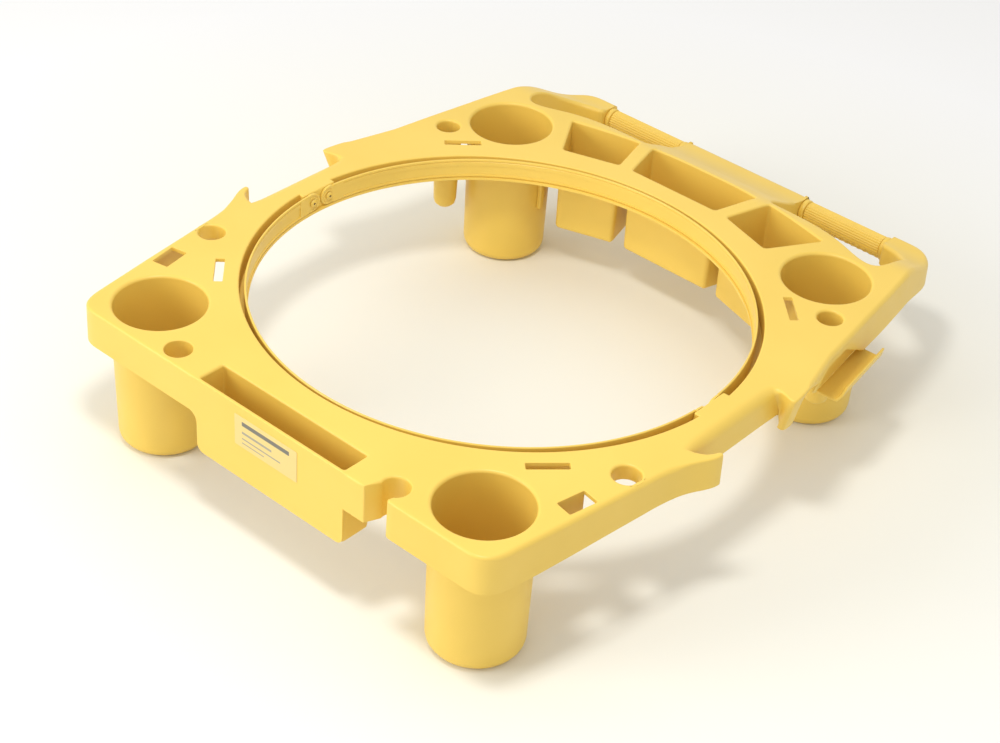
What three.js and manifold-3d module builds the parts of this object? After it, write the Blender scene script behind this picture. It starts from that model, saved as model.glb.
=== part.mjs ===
// Rim tool caddy: a moulded plastic collar that drops over the rim of a large round waste container.
// It carries four cups (which are also its legs), a front tray, three rear bins, tool sockets, a rear
// handle with two fluted grips, a side hook, and two half-hoop rings that hold the waste bag open.
// Units are millimetres, +Z is up, the tray is at the front (-Y) and the handle at the rear (+Y).
import * as THREE from 'three';
import { mergeVertices } from 'three/addons/utils/BufferGeometryUtils.js';
import Module from 'manifold-3d';

const wasm = await Module();
wasm.setup();

// ---------- driving dimensions, measured from the centre of the round opening ----------
const GAP = 0.3;                  // clearance between neighbouring pieces
const WALL = 3;                   // moulded wall thickness
const DECK_Z = 171.5;             // top of the deck above the floor
const UNDER_Z = DECK_Z - WALL;    // underside of the deck
const SKIRT_Z = 126.5;            // lower edge of the outer skirt
const FRONT_Y = -345;             // front face of the tray and skirt
const REAR_Y = 466;               // rear face of the handle
const HALF_WIDTH = 343;           // tips of the side horns
const DROOP_START = 350;          // the deck curves down from here to the handle
const DROOP = 35;                 // how far the deck drops at the handle
const SKIRT_DROOP = 16;           // how far the skirt edge drops at the handle
const HANDLE_R = 13;
const HANDLE = { y: REAR_Y - HANDLE_R, z: 123, r: HANDLE_R };    // axis and radius of the rounded rear bar

const OPENING = { a: 289, b: 275.5 };    // half axes of the round opening, across and along
const RING = { a: 278, b: 270, thick: 2.5, low: 147, high: 171 };
const LIP = { a: 278, b: 267.5, low: 143.5, high: RING.low - GAP };
const PIVOT = { y: 12.5, z: (RING.low + RING.high) / 2, knuckle: 11.5 };
const RIVET = { shank: 3, head: 4.8, headThick: 1.8, headFace: RING.a - 1 };
const TAB = { x: RING.a + RING.thick + 0.5, outer: OPENING.a - 1.6, halfLength: 25 };

const CUP = { top: 50, bottom: 47.5, frontX: 230, frontY: -282.5, rearX: 233, rearY: 280 };
const TRAY = { halfWidth: 102, front: FRONT_Y + 3.5, back: -309, floor: 80 };
const BIN_FLOOR = 60;
const SOCKET = { r: 15, wall: 1.8, frontX: 154, frontY: -324, sideX: 296, sideY: -151, shortZ: 156 };
const TOOL_TUBE = { x: 280.5, y: 218, r: 14, foot: 60 };
const SLOT = { frontX: 234.3, frontY: -196, rearX: 241, rearY: 201, length: 44, width: 10 };
const WINDOW = { x: 289.5, y: -217.8, length: 34, width: 20, turn: -10.5 };
const FLAP = { low: 94, length: 37 };    // upright wall hanging at the inner edge of each window
const NOTCH = { left: 130, right: 158, depth: 22 };
const GRIP = { r: 12, below: 16.5, inner: 90, outer: 212, collar: 14, collarWide: 7, pitch: 11, scallop: 4 };
const HOOK = { x: 315.3, y: 212, turn: 8.1, length: 104, reach: 28, shelfZ: 118, lip: 15, bay: 8 };

const RIB = { width: 7, depth: 4, low: 75, turn: 180 };    // upright rib on each rear cup
const LABEL_THICK = 0.4;

const ROUND = 40;                 // facets on a cup
const HOOP = 80;                  // facets on the large opening

// ---------- materials ----------
const plastic = new THREE.MeshStandardMaterial({ color: 0xf3cc55, roughness: 0.42, metalness: 0 });
const ringPlastic = new THREE.MeshStandardMaterial({ color: 0xf0c750, roughness: 0.38, metalness: 0 });
const rivetPlastic = new THREE.MeshStandardMaterial({ color: 0xe3bb4b, roughness: 0.35, metalness: 0 });
const sticker = new THREE.MeshStandardMaterial({ color: 0xf1e6c4, roughness: 0.5, metalness: 0 });

// ---------- solids ----------
function toSolid(geometry) {
  const bare = geometry.clone();
  bare.deleteAttribute('normal');
  bare.deleteAttribute('uv');
  const merged = mergeVertices(bare, 1e-4);
  return new wasm.Manifold(new wasm.Mesh({
    numProp: 3,
    vertProperties: Float32Array.from(merged.attributes.position.array),
    triVerts: Uint32Array.from(merged.index.array),
  }));
}

function toGeometry(solid) {
  const mesh = solid.getMesh();
  const geometry = new THREE.BufferGeometry();
  geometry.setAttribute('position', new THREE.BufferAttribute(Float32Array.from(mesh.vertProperties), 3));
  geometry.setIndex(new THREE.BufferAttribute(Uint32Array.from(mesh.triVerts), 1));
  geometry.computeVertexNormals();
  return geometry;
}

function box(x0, x1, y0, y1, z0, z1) {
  const geometry = new THREE.BoxGeometry(x1 - x0, y1 - y0, z1 - z0);
  geometry.translate((x0 + x1) / 2, (y0 + y1) / 2, (z0 + z1) / 2);
  return toSolid(geometry);
}

// A plan outline, given as [x, y] pairs, raised from z0 to z1.
function prism(outline, z0, z1) {
  const shape = new THREE.Shape(outline.map(([x, y]) => new THREE.Vector2(x, y)));
  const geometry = new THREE.ExtrudeGeometry(shape, { depth: z1 - z0, bevelEnabled: false, steps: 1 });
  geometry.translate(0, 0, z0);
  return toSolid(geometry);
}

// A side outline, given as [y, z] pairs, drawn across the caddy from x0 to x1.
function sideways(outline, x0, x1) {
  const shape = new THREE.Shape(outline.map(([y, z]) => new THREE.Vector2(y, z)));
  const geometry = new THREE.ExtrudeGeometry(shape, { depth: x1 - x0, bevelEnabled: false, steps: 1 });
  const acrossX = new THREE.Matrix4().makeBasis(
    new THREE.Vector3(0, 1, 0), new THREE.Vector3(0, 0, 1), new THREE.Vector3(1, 0, 0));
  geometry.applyMatrix4(acrossX);
  geometry.translate(x0, 0, 0);
  return toSolid(geometry);
}

// A body of revolution about a vertical axis at (x, y), from [r, z] pairs.
function turned(profile, x, y, segments = ROUND) {
  const geometry = new THREE.LatheGeometry(profile.map(([r, z]) => new THREE.Vector2(r, z)), segments);
  geometry.rotateX(Math.PI / 2);
  geometry.translate(x, y, 0);
  return toSolid(geometry);
}

// A round bar along X, centred at (y, z).
function rod(r, x0, x1, y, z, segments = 24) {
  const geometry = new THREE.CylinderGeometry(r, r, x1 - x0, segments);
  geometry.rotateZ(Math.PI / 2);
  geometry.translate((x0 + x1) / 2, y, z);
  return toSolid(geometry);
}

function ellipse(a, b, segments = HOOP) {
  const points = [];
  for (let i = 0; i < segments; i++) {
    const turn = (2 * Math.PI * i) / segments;
    points.push([a * Math.cos(turn), b * Math.sin(turn)]);
  }
  return points;
}

function disc(r, x, y, segments = 32) {
  return ellipse(r, r, segments).map(([px, py]) => [px + x, py + y]);
}

// A rectangle of the given size about (x, y), turned by some degrees.
function rectangle(length, width, x, y, degrees) {
  const angle = THREE.MathUtils.degToRad(degrees);
  const corners = [[-1, -1], [1, -1], [1, 1], [-1, 1]];
  return corners.map(([i, j]) => {
    const u = (i * length) / 2;
    const v = (j * width) / 2;
    return [x + u * Math.cos(angle) - v * Math.sin(angle), y + u * Math.sin(angle) + v * Math.cos(angle)];
  });
}

// Moves every corner of a closed counter-clockwise outline inward by a distance.
function inset(outline, distance) {
  const count = outline.length;
  return outline.map((point, i) => {
    const before = outline[(i + count - 1) % count];
    const after = outline[(i + 1) % count];
    const n0 = edgeNormal(before, point);
    const n1 = edgeNormal(point, after);
    const scale = distance / Math.max(0.35, 1 + n0[0] * n1[0] + n0[1] * n1[1]);
    return [point[0] + (n0[0] + n1[0]) * scale, point[1] + (n0[1] + n1[1]) * scale];
  });
}

function edgeNormal(p, q) {
  const length = Math.hypot(q[0] - p[0], q[1] - p[1]);
  return [-(q[1] - p[1]) / length, (q[0] - p[0]) / length];
}

function mirrored(outline) {
  return outline.map(([x, y]) => [-x, y]).reverse();
}

// ---------- plan outline of the caddy ----------
// The right side from the front corner to the rear corner, as straight runs and smooth curves.
function rightSide() {
  const path = new THREE.Path();
  path.moveTo(264, FRONT_Y);
  path.quadraticCurveTo(288, FRONT_Y, 293.5, FRONT_Y + 29);
  path.lineTo(318, -145);
  path.bezierCurveTo(321, -120, 326, -98, 336, -80);
  path.quadraticCurveTo(HALF_WIDTH, -68, HALF_WIDTH, -56);
  path.lineTo(336, -56);
  path.quadraticCurveTo(332, -73, 316, -73);
  path.lineTo(316, 70);
  path.lineTo(HALF_WIDTH, 66);
  path.bezierCurveTo(HALF_WIDTH, 90, 330, 130, 322, 165);
  path.lineTo(307, 270);
  path.lineTo(296, 345);
  path.bezierCurveTo(290, 372, 286, 394, 281, 415);
  path.bezierCurveTo(275, 444, 262, REAR_Y, 236, REAR_Y);
  return path.getPoints(6).map((p) => [p.x, p.y]);
}

function caddyOutline() {
  const right = rightSide();
  const left = mirrored(right);
  return [...right, ...left];
}

// Height lost towards the handle: nothing on the flat deck, then a smooth half wave.
function droop(y, depth) {
  const t = THREE.MathUtils.clamp((y - DROOP_START) / (HANDLE.y - DROOP_START), 0, 1);
  return depth * 0.5 * (1 - Math.cos(Math.PI * t));
}

// Further height lost where the top of the deck rounds over the rear bar.
function roundOver(y) {
  const beyond = THREE.MathUtils.clamp(y - HANDLE.y, 0, HANDLE.r - 1);
  return HANDLE.r - Math.sqrt(HANDLE.r ** 2 - beyond ** 2);
}

// The space between two curved ceilings, as wide as the whole caddy.
function layer(topZ, topDroop, bottomZ, bottomDroop, bottomRound = 0) {
  const stations = [FRONT_Y - 20];
  for (let i = 0; i <= 8; i++) {
    stations.push(DROOP_START + ((HANDLE.y - DROOP_START) * i) / 8);
  }
  for (const share of [0.45, 0.75, 0.93]) {
    stations.push(HANDLE.y + HANDLE.r * share);
  }
  stations.push(REAR_Y + 20);
  const bottom = stations.map((y) => [y, bottomZ - droop(y, bottomDroop) - bottomRound * roundOver(y)]);
  const top = stations.map((y) => [y, topZ - droop(y, topDroop) - roundOver(y)]).reverse();
  return sideways([...bottom, ...top], -HALF_WIDTH - 20, HALF_WIDTH + 20);
}

// Everything that hangs from the deck is trimmed to its curved underside.
const belowDeck = layer(UNDER_Z - GAP, DROOP, -10, 0);

// ---------- openings cut in the deck ----------
const TALL = [40, 200];

function handOpening() {
  return [
    [GRIP.inner, 371], [120, 370], [165, 366], [195, 358], [217, 350], [234, 343.5],
    [248, 341], [259, 347], [264, 362], [262, 386], [254, 408], [238, 424], [GRIP.outer, 430],
    [GRIP.outer, REAR_Y + 20], [GRIP.inner, REAR_Y + 20],
  ];
}

function sideBin() {
  return [[80, 301], [149, 279], [186, 341], [97, 363]];
}

function rearBin() {
  return [[-61, 303], [61, 303], [77, 364], [40, 369], [0, 370], [-40, 369], [-77, 364]];
}

function trayOpening() {
  return [
    [-TRAY.halfWidth, TRAY.front], [TRAY.halfWidth, TRAY.front],
    [TRAY.halfWidth, TRAY.back], [-TRAY.halfWidth, TRAY.back],
  ];
}

// The keyhole at the front right: a round hole with a mouth through the front skirt.
function keyhole(extra, low, high) {
  const round = prism(disc(SOCKET.r + extra, SOCKET.frontX, SOCKET.frontY), low, high);
  const mouth = prism([
    [NOTCH.left - extra, FRONT_Y - 1], [NOTCH.right + extra, FRONT_Y - 1],
    [NOTCH.right + 4 + extra, FRONT_Y + NOTCH.depth - 8], [SOCKET.frontX, SOCKET.frontY],
    [SOCKET.frontX - SOCKET.r - extra, SOCKET.frontY],
  ], low, high);
  return round.add(mouth);
}

function onBothSides(outline) {
  return [outline, mirrored(outline)];
}

function deckCuts() {
  const outlines = [ellipse(OPENING.a, OPENING.b), trayOpening(), rearBin()];
  outlines.push(...onBothSides(sideBin()), ...onBothSides(handOpening()));
  outlines.push(...onBothSides(disc(CUP.top, CUP.frontX, CUP.frontY, ROUND)));
  outlines.push(...onBothSides(disc(CUP.top, CUP.rearX, CUP.rearY, ROUND)));
  outlines.push(...onBothSides(disc(SOCKET.r, SOCKET.sideX, SOCKET.sideY)));
  outlines.push(...onBothSides(disc(TOOL_TUBE.r, TOOL_TUBE.x, TOOL_TUBE.y)));
  outlines.push(...onBothSides(rectangle(SLOT.length, SLOT.width, SLOT.frontX, SLOT.frontY, 46)));
  outlines.push(...onBothSides(rectangle(SLOT.length, SLOT.width, SLOT.rearX, SLOT.rearY, -45)));
  outlines.push(...onBothSides(rectangle(WINDOW.width, WINDOW.length, WINDOW.x, WINDOW.y, WINDOW.turn)));
  outlines.push(disc(SOCKET.r, -SOCKET.frontX, SOCKET.frontY));
  const cuts = outlines.map((outline) => prism(outline, ...TALL));
  cuts.push(keyhole(0, ...TALL));
  return wasm.Manifold.union(cuts);
}

// ---------- the named pieces ----------
const caddy = new THREE.Group();

function addMesh(name, solid, material = plastic) {
  const mesh = new THREE.Mesh(toGeometry(solid), material);
  mesh.name = name;
  caddy.add(mesh);
}

// The caddy is divided at these lines into regions, each kept clear of its neighbour by the gap.
const SPLIT = { frontY: -150, rearY: 150, middleX: 122 };

function region(x0, x1, y0, y1) {
  const half = GAP / 2;
  return box(x0 + half, x1 - half, y0 + half, y1 - half, 0, 250);
}

const FAR = 500;
const REGIONS = {
  front_left: region(-FAR, -SPLIT.middleX, -FAR, SPLIT.frontY),
  front_middle: region(-SPLIT.middleX, SPLIT.middleX, -FAR, SPLIT.frontY),
  front_right: region(SPLIT.middleX, FAR, -FAR, SPLIT.frontY),
  side_left: region(-FAR, 0, SPLIT.frontY, SPLIT.rearY),
  side_right: region(0, FAR, SPLIT.frontY, SPLIT.rearY),
  rear_left: region(-FAR, -SPLIT.middleX, SPLIT.rearY, FAR),
  rear_middle: region(-SPLIT.middleX, SPLIT.middleX, SPLIT.rearY, FAR),
  rear_right: region(SPLIT.middleX, FAR, SPLIT.rearY, FAR),
};

function hingeTab(side) {
  const inner = side * TAB.x;
  const outer = side * (OPENING.a + 1);
  const [low, high] = [Math.min(inner, outer), Math.max(inner, outer)];
  return box(low, high, -TAB.halfLength, TAB.halfLength, UNDER_Z, DECK_Z);
}

function makeDeck() {
  const outline = prism(caddyOutline(), ...TALL);
  const plate = outline.subtract(deckCuts()).intersect(layer(DECK_Z, DROOP, UNDER_Z, DROOP, 1));
  const deck = plate.add(hingeTab(1)).add(hingeTab(-1));
  for (const [name, space] of Object.entries(REGIONS)) {
    addMesh(`deck_${name}`, deck.intersect(space));
  }
}

// The shallow bay in the right-hand skirt that the side hook sits in, grown by a margin.
function hookBay(extra) {
  const { x, y, turn, length, bay } = HOOK;
  return prism(rectangle(2 * (bay + extra), length + 6 + 2 * extra, x, y, turn), ...TALL);
}

// The wall that hangs from the rim of the deck. It is open at the tray, the keyhole and the grips.
function makeSkirt() {
  const outline = caddyOutline();
  const band = prism(outline, ...TALL).subtract(prism(inset(outline, WALL), ...TALL));
  const skirtLayer = layer(UNDER_Z - GAP, DROOP, SKIRT_Z, SKIRT_DROOP);
  const curtain = band.intersect(skirtLayer);
  const trayGap = TRAY.halfWidth + WALL + GAP;
  const away = [
    box(-trayGap, trayGap, FRONT_Y - 10, FRONT_Y + 20, ...TALL),
    keyhole(SOCKET.wall + GAP, ...TALL),
    box(GRIP.inner, GRIP.outer, REAR_Y - 40, REAR_Y + 10, ...TALL),
    box(-GRIP.outer, -GRIP.inner, REAR_Y - 40, REAR_Y + 10, ...TALL),
  ];
  const bay = hookBay(0);
  const bayWall = hookBay(WALL).subtract(bay).intersect(prism(outline, ...TALL)).intersect(skirtLayer);
  const skirt = curtain.subtract(wasm.Manifold.union([...away, bay])).add(bayWall);
  const half = GAP / 2;
  const corner = box(SPLIT.middleX + half, FAR, -FAR, SPLIT.frontY - half, 0, 250);
  const keyFront = box(0, SOCKET.frontX, FRONT_Y - 10, FRONT_Y + 20, 0, 250);
  const leftCorner = box(-FAR, -trayGap, -FAR, SPLIT.frontY - half, 0, 250);
  addMesh('skirt_front_left', skirt.intersect(leftCorner));
  addMesh('skirt_front_right', skirt.intersect(corner).subtract(keyFront));
  addMesh('skirt_tray_end', skirt.intersect(keyFront));
  addMesh('skirt_side_left', skirt.intersect(REGIONS.side_left));
  addMesh('skirt_side_right', skirt.intersect(REGIONS.side_right));
  addMesh('skirt_rear_left', skirt.intersect(REGIONS.rear_left));
  addMesh('skirt_rear_right', skirt.intersect(REGIONS.rear_right));
  addMesh('handle_block_back', skirt.intersect(REGIONS.rear_middle));
}

// The wall round the opening, with the ledge at its foot that the bag rings rest on.
function makeOpeningWall() {
  const top = UNDER_Z - GAP;
  const outer = prism(ellipse(OPENING.a + WALL, OPENING.b + WALL), LIP.low, top);
  const wallInside = prism(ellipse(OPENING.a, OPENING.b), LIP.high, top + 1);
  const ledgeInside = prism(ellipse(LIP.a, LIP.b), LIP.low - 1, top + 1);
  const ring = outer.subtract(wallInside).subtract(ledgeInside);
  const cut = 45;
  const reach = 400;
  const wedge = (degrees) => {
    const a = THREE.MathUtils.degToRad(degrees - cut);
    const b = THREE.MathUtils.degToRad(degrees + cut);
    const m = THREE.MathUtils.degToRad(degrees);
    const start = [GAP * Math.cos(m), GAP * Math.sin(m)];
    return prism([
      start, [start[0] + reach * Math.cos(a), start[1] + reach * Math.sin(a)],
      [start[0] + 2 * reach * Math.cos(m), start[1] + 2 * reach * Math.sin(m)],
      [start[0] + reach * Math.cos(b), start[1] + reach * Math.sin(b)],
    ], 0, 250);
  };
  addMesh('opening_wall_right', ring.intersect(wedge(0)));
  addMesh('opening_wall_rear', ring.intersect(wedge(90)));
  addMesh('opening_wall_left', ring.intersect(wedge(180)));
  addMesh('opening_wall_front', ring.intersect(wedge(270)));
}

function hingeBlock(side) {
  const x0 = TAB.x;
  const x1 = TAB.outer;
  const body = box(x0, x1, -TAB.halfLength, TAB.halfLength, RING.low, UNDER_Z - GAP);
  const holes = [-1, 1].map((s) => rod(RIVET.shank + GAP, x0 - 1, x1 - WALL, s * PIVOT.y, PIVOT.z, 16));
  const solid = body.subtract(wasm.Manifold.union(holes));
  return side > 0 ? solid : solid.mirror([1, 0, 0]);
}

function cup() {
  const { top, bottom } = CUP;
  const rim = UNDER_Z - GAP;
  return [
    [0, 0], [bottom - 5, 0], [bottom + 0.5, 2], [bottom + WALL, 8], [top + WALL, rim],
    [top, rim], [bottom, 12], [bottom - 3, 5.5], [bottom - 8, WALL], [0, WALL],
  ];
}

function makeCups() {
  addMesh('cup_front_left', turned(cup(), -CUP.frontX, CUP.frontY));
  addMesh('cup_front_right', turned(cup(), CUP.frontX, CUP.frontY));
  addMesh('cup_rear_left', turned(cup(), -CUP.rearX, CUP.rearY));
  addMesh('cup_rear_right', turned(cup(), CUP.rearX, CUP.rearY));
  addMesh('cup_rib_left', cupRib(-1));
  addMesh('cup_rib_right', cupRib(1));
  addMesh('window_flap_left', windowFlap(-1));
  addMesh('window_flap_right', windowFlap(1));
}

// A pocket with the given mouth, walls and a floor.
function pocket(mouth, floor) {
  const outer = prism(inset(mouth, -WALL), floor, UNDER_Z - GAP);
  return outer.subtract(prism(mouth, floor + WALL, DECK_Z)).intersect(belowDeck);
}

function makePockets() {
  const { halfWidth, back, floor, front } = TRAY;
  const shell = box(-halfWidth - WALL, halfWidth + WALL, FRONT_Y, back + WALL, floor, UNDER_Z - GAP);
  addMesh('front_tray', shell.subtract(box(-halfWidth, halfWidth, front, back, floor + WALL, DECK_Z)));
  addMesh('bin_left', pocket(mirrored(sideBin()), BIN_FLOOR));
  addMesh('bin_middle', pocket(rearBin(), BIN_FLOOR));
  addMesh('bin_right', pocket(sideBin(), BIN_FLOOR));
}

function sleeve(x, y, r, low) {
  const top = UNDER_Z - GAP;
  return prism(disc(r + SOCKET.wall, x, y), low, top).subtract(prism(disc(r, x, y), low - 1, top + 1));
}

function toolTube(side) {
  const { x, y, r, foot } = TOOL_TUBE;
  const top = UNDER_Z - GAP;
  return turned([
    [0, foot], [r - 6, foot], [r - 2.2, foot + 3], [r - 1, foot + 8], [r + 2, top],
    [r, top], [r - 3, foot + 9], [r - 6, foot + 3], [0, foot + 3],
  ], side * x, y, 32);
}

function makeSockets() {
  addMesh('socket_front_left', sleeve(-SOCKET.frontX, SOCKET.frontY, SOCKET.r, SKIRT_Z));
  const wallLow = SKIRT_Z;
  const wallTop = UNDER_Z - GAP;
  const clip = keyhole(SOCKET.wall, wallLow, wallTop).subtract(keyhole(0, wallLow - 1, wallTop + 1));
  addMesh('socket_keyhole', clip.intersect(box(0, FAR, FRONT_Y, 0, 0, 250)));
  addMesh('socket_side_left', sleeve(-SOCKET.sideX, SOCKET.sideY, SOCKET.r, SOCKET.shortZ));
  addMesh('socket_side_right', sleeve(SOCKET.sideX, SOCKET.sideY, SOCKET.r, SOCKET.shortZ));
  addMesh('tool_tube_left', toolTube(-1));
  addMesh('tool_tube_right', toolTube(1));
}

// The section of the rear bar, a little deeper below its axis than above, as [y, z] pairs.
function barSection(extra, segments) {
  return ellipse(GRIP.r + extra, 1, segments).map(([across, height]) => {
    const reach = height > 0 ? GRIP.r + extra : GRIP.below + extra;
    return [HANDLE.y + across, HANDLE.z + height * reach];
  });
}

// A grip: the bar between two collars, with finger scallops along its lower front edge.
function grip() {
  const { inner, outer, collarWide, pitch, scallop, r, below } = GRIP;
  const start = inner + collarWide + GAP;
  const end = outer - collarWide - GAP;
  const scallops = [];
  for (let x = start + pitch; x < end - scallop; x += pitch) {
    const cutter = new THREE.CylinderGeometry(scallop, scallop, 4 * r, 10);
    cutter.rotateX(THREE.MathUtils.degToRad(45));
    cutter.translate(x, HANDLE.y - r * 0.9, HANDLE.z - below * 0.9);
    scallops.push(toSolid(cutter));
  }
  return sideways(barSection(0, 28), start, end).subtract(wasm.Manifold.union(scallops));
}

function collar(x) {
  return sideways(barSection(GRIP.collar - GRIP.r, 28), x, x + GRIP.collarWide);
}

function makeHandle() {
  const right = grip();
  const clear = prism(handOpening(), ...TALL);
  const inner = collar(GRIP.inner + GAP).intersect(clear);
  const outer = collar(GRIP.outer - GRIP.collarWide - GAP).intersect(clear);
  const pieces = { grip: right, collar_inner: inner, collar_outer: outer };
  for (const [name, solid] of Object.entries(pieces)) {
    addMesh(`${name}_right`, solid);
    addMesh(`${name}_left`, solid.mirror([1, 0, 0]));
  }
}

// The side hook: a shelf with an upturned lip, hung from the right-hand skirt.
function makeHook() {
  const { reach, lip, length } = HOOK;
  const outline = [
    [0, 0], [reach - 6, -2], [reach, lip], [reach - 2.6, lip + 0.5], [reach - 8, WALL - 1.5], [WALL, WALL],
    [WALL, 9], [0, 9],
  ];
  const solid = sideways(outline, -length / 2, length / 2);
  const outward = solid.rotate([0, 0, HOOK.turn - 90]);
  const tilt = THREE.MathUtils.degToRad(HOOK.turn);
  const setBack = HOOK.bay - GAP;
  const x = HOOK.x - setBack * Math.cos(tilt);
  const y = HOOK.y - setBack * Math.sin(tilt);
  addMesh('side_hook', outward.translate([x, y, HOOK.shelfZ]));
}

// The upright wall below the inner edge of a window.
function windowFlap(side) {
  const angle = THREE.MathUtils.degToRad(WINDOW.turn);
  const reach = WINDOW.width / 2 + WALL / 2;
  const x = WINDOW.x - reach * Math.cos(angle);
  const y = WINDOW.y - reach * Math.sin(angle);
  const flap = prism(rectangle(WALL, FLAP.length, x, y, WINDOW.turn), FLAP.low, UNDER_Z - GAP);
  return side > 0 ? flap : flap.mirror([1, 0, 0]);
}

// An upright rib down the outside of a rear cup, on the side that faces the bins.
function cupRib(side) {
  const angle = THREE.MathUtils.degToRad(RIB.turn);
  const reach = CUP.bottom + WALL + GAP + RIB.depth / 2;
  const x = CUP.rearX + reach * Math.cos(angle);
  const y = CUP.rearY + reach * Math.sin(angle);
  const column = prism(rectangle(RIB.depth + 6, RIB.width, x, y, RIB.turn), RIB.low, UNDER_Z - GAP);
  const space = turned([
    [0, 0], [CUP.bottom + WALL + GAP, 0], [CUP.top + WALL + GAP, UNDER_Z + 1], [0, UNDER_Z + 1],
  ], CUP.rearX, CUP.rearY);
  const rib = column.subtract(space);
  return side > 0 ? rib : rib.mirror([1, 0, 0]);
}

// A half-hoop band with rounded knuckles; the rear one is drawn and the front one is its mirror.
function bagRing() {
  const { a, b, thick, low, high } = RING;
  const outer = ellipse(a + thick, b + thick);
  const band = prism(outer, low, high).subtract(prism(ellipse(a, b), low - 1, high + 1));
  const half = band.intersect(box(-FAR, FAR, PIVOT.y, FAR, 0, 250));
  const ends = [];
  for (const x of [a, -a - thick]) {
    ends.push(rod(PIVOT.knuckle, x, x + thick, PIVOT.y, PIVOT.z, 32));
    ends.push(box(x, x + thick, PIVOT.y, PIVOT.y + 8, low, high));
  }
  const bore = rod(RIVET.shank + GAP, -FAR, FAR, PIVOT.y, PIVOT.z, 16);
  return half.add(wasm.Manifold.union(ends)).subtract(bore);
}

// The two bag rings turn on four rivets, which pass through a block moulded at each side.
function rivet(side, y) {
  const { shank, head, headThick, headFace: face } = RIVET;
  const body = rod(shank, face - 1, TAB.outer - WALL - GAP, y, PIVOT.z, 16);
  const cap = rod(head, face - headThick, face, y, PIVOT.z, 24);
  const dimple = rod(1.2, face - headThick - 1, face - headThick + 1.2, y, PIVOT.z, 12);
  const solid = body.add(cap).subtract(dimple);
  return side > 0 ? solid : solid.mirror([1, 0, 0]);
}

function makeRings() {
  const rear = bagRing();
  addMesh('bag_ring_rear', rear, ringPlastic);
  addMesh('bag_ring_front', rear.mirror([0, 1, 0]), ringPlastic);
  addMesh('hinge_block_left', hingeBlock(-1));
  addMesh('hinge_block_right', hingeBlock(1));
  addMesh('rivet_left_front', rivet(-1, -PIVOT.y), rivetPlastic);
  addMesh('rivet_left_rear', rivet(-1, PIVOT.y), rivetPlastic);
  addMesh('rivet_right_front', rivet(1, -PIVOT.y), rivetPlastic);
  addMesh('rivet_right_rear', rivet(1, PIVOT.y), rivetPlastic);
}

function makeLabel() {
  const front = FRONT_Y - 0.1;
  addMesh('tray_label', box(-47, 42, front - LABEL_THICK, front, 122, 160), sticker);
}

makeDeck();
makeSkirt();
makeOpeningWall();
makeCups();
makePockets();
makeSockets();
makeHandle();
makeHook();
makeRings();
makeLabel();

// The part's origin is on the floor, under the middle of the whole caddy.
const part = new THREE.Group();
caddy.position.y = -(FRONT_Y + REAR_Y) / 2;
part.add(caddy);

export default part;
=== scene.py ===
import math

import bmesh
import bpy
import numpy as np
from mathutils import Matrix, Vector
from mathutils.geometry import delaunay_2d_cdt


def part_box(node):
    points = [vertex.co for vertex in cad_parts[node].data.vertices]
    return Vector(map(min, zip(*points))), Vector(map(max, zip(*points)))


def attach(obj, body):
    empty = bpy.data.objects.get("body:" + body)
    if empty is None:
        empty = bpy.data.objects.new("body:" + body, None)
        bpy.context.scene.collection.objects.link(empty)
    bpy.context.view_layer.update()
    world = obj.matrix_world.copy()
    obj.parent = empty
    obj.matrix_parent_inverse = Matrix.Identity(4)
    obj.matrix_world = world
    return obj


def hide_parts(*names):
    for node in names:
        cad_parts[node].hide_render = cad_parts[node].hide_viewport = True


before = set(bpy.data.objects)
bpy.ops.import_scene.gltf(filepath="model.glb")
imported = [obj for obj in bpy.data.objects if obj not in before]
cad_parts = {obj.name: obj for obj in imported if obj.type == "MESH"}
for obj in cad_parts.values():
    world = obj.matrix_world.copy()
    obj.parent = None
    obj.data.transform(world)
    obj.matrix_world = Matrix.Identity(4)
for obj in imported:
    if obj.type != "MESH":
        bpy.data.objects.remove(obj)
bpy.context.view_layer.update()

MM = 0.001


# ---------- sizes read from the frame ----------
def node_low(node):
    return np.array(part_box(node)[0]) / MM


def node_high(node):
    return np.array(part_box(node)[1]) / MM


def node_middle(node):
    return (node_low(node) + node_high(node)) / 2


# The opening's centre lies midway between the far edges of the two bag rings.
CENTRE_Y = (node_low("bag_ring_front")[1] + node_high("bag_ring_rear")[1]) / 2
DECK_Z = node_high("deck_rear_middle")[2]
SKIRT_Z = node_low("skirt_front_left")[2]
FRONT_Y = node_low("front_tray")[1] - CENTRE_Y
REAR_Y = node_high("handle_block_back")[1] - CENTRE_Y
TRAY_FOOT_Z = node_low("front_tray")[2]
BIN_FOOT_Z = node_low("bin_middle")[2]
HALF_WIDTH = node_high("deck_side_right")[0]
RING_LOW_Z, RING_HIGH_Z = node_low("bag_ring_rear")[2], node_high("bag_ring_rear")[2]
PIVOT_Z = (RING_LOW_Z + RING_HIGH_Z) / 2

CUP_FRONT = node_middle("cup_front_right")[:2] - (0, CENTRE_Y)
CUP_REAR = node_middle("cup_rear_right")[:2] - (0, CENTRE_Y)
TUBE = node_middle("tool_tube_right")[:2] - (0, CENTRE_Y)
SOCKET_SIDE = node_middle("socket_side_right")[:2] - (0, CENTRE_Y)
SOCKET_FRONT = node_middle("socket_front_left")[:2] - (0, CENTRE_Y)

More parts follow.
